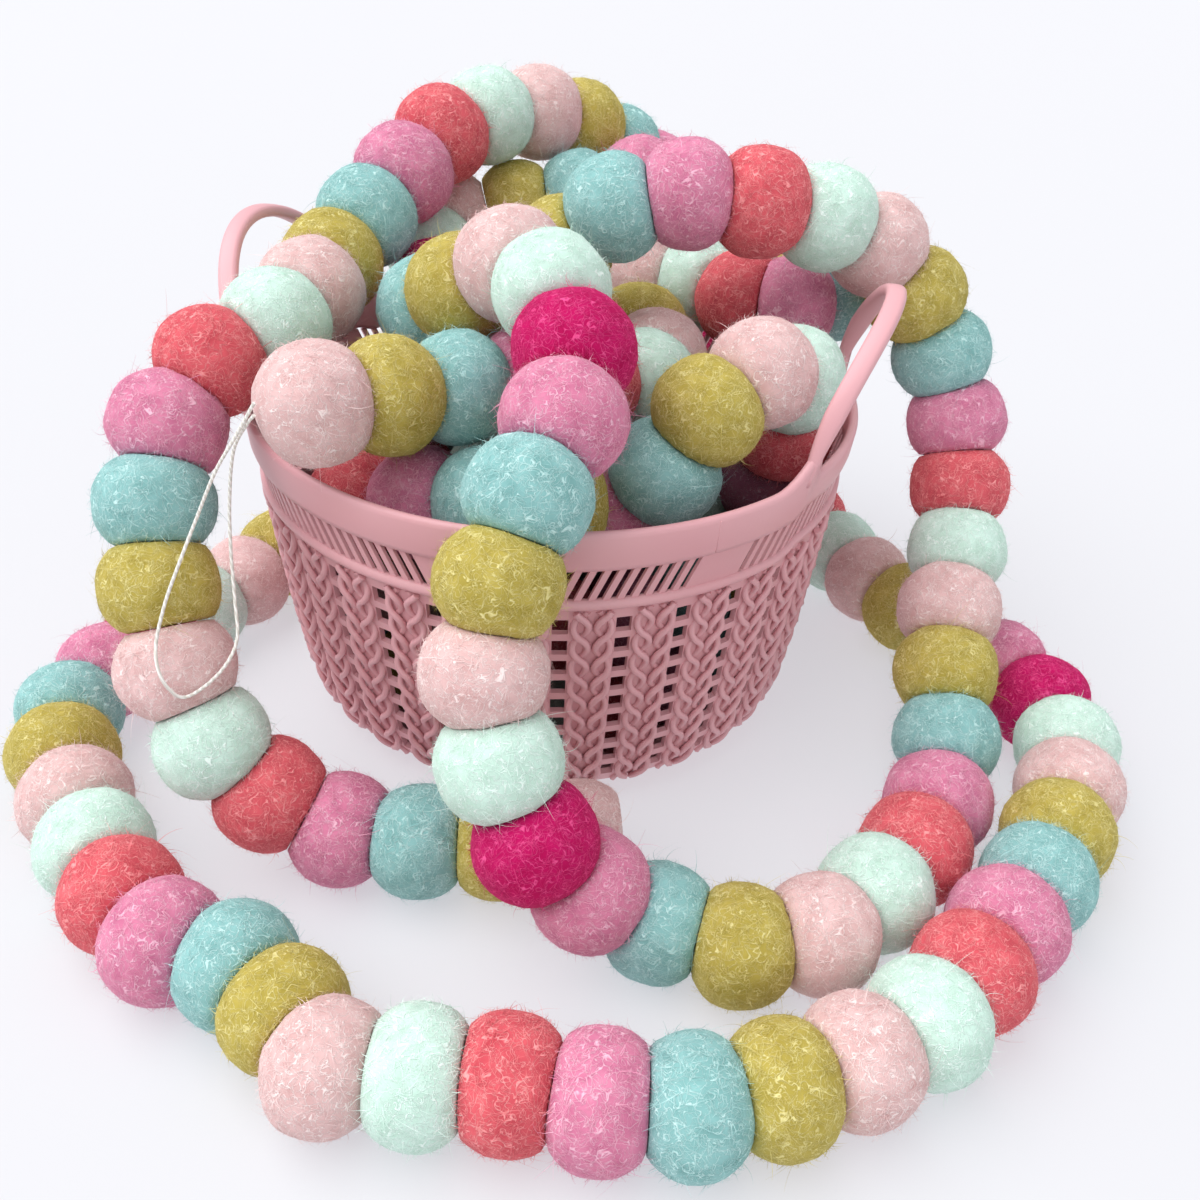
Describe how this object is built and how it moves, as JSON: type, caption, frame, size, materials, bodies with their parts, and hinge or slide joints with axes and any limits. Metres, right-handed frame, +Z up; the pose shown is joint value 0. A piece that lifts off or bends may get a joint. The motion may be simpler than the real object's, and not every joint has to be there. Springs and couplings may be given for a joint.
{
  "type": "felt ball garland, with the small basket it lies in and falls over",
  "caption": "Garland of felted wool balls in a repeat of six colours, heaped in, hung over and laid round a small pink knit-look basket with two loop handles.",
  "frame": {"origin": "middle of the basket's underside, on the surface that the basket and the garland rest on", "axes": "+Z up; +Y from the hanging front run towards the back of the heap; +X towards the basket's right handle, seen from the front"},
  "size_m": [0.3004, 0.3338, 0.1561],
  "materials": {
    "wool_blush": "felted",
    "wool_mint": "felted",
    "wool_coral": "felted",
    "wool_pink": "felted",
    "wool_orchid": "felted",
    "wool_teal": "felted",
    "wool_olive": "felted",
    "basket_plastic": "satin",
    "twine": "twisted cotton"
  },
  "bodies": {
    "root": {"back_1": "wool_mint", "back_2": "wool_blush", "basket_base": "basket_plastic", "basket_wall": "basket_plastic", "coil_low_1": "wool_mint", "coil_low_2": "wool_orchid", "coil_low_3": "wool_olive", "coil_low_4": "wool_mint", "coil_low_in_1": "wool_mint", "coil_low_in_2": "wool_orchid", "coil_mid_1": "wool_mint", "coil_mid_2": "wool_orchid", "coil_mid_3": "wool_olive", "coil_mid_4": "wool_mint", "coil_mid_in_1": "wool_mint", "coil_mid_in_2": "wool_orchid", "coil_top_1": "wool_coral", "coil_top_2": "wool_mint", "end_1": "wool_blush", "end_2": "wool_teal", "front_1": "wool_teal", "front_2": "wool_orchid", "front_3": "wool_mint", "front_4": "wool_blush", "front_5": "wool_olive", "front_6": "wool_teal", "front_7": "wool_coral", "front_8": "wool_mint", "front_9": "wool_blush", "handle_left": "basket_plastic", "handle_right": "basket_plastic", "inner_1": "wool_orchid", "left_1": "wool_coral", "left_2": "wool_mint", "left_3": "wool_blush", "left_4": "wool_olive", "left_5": "wool_teal", "right_1": "wool_coral", "right_2": "wool_mint", "ring_1": "wool_blush", "ring_2": "wool_olive", "ring_3": "wool_orchid", "ring_4": "wool_coral", "ring_5": "wool_mint", "ring_6": "wool_olive", "ring_7": "wool_teal", "ring_8": "wool_orchid", "string_loop": "twine"}
  },
  "joints": []
}
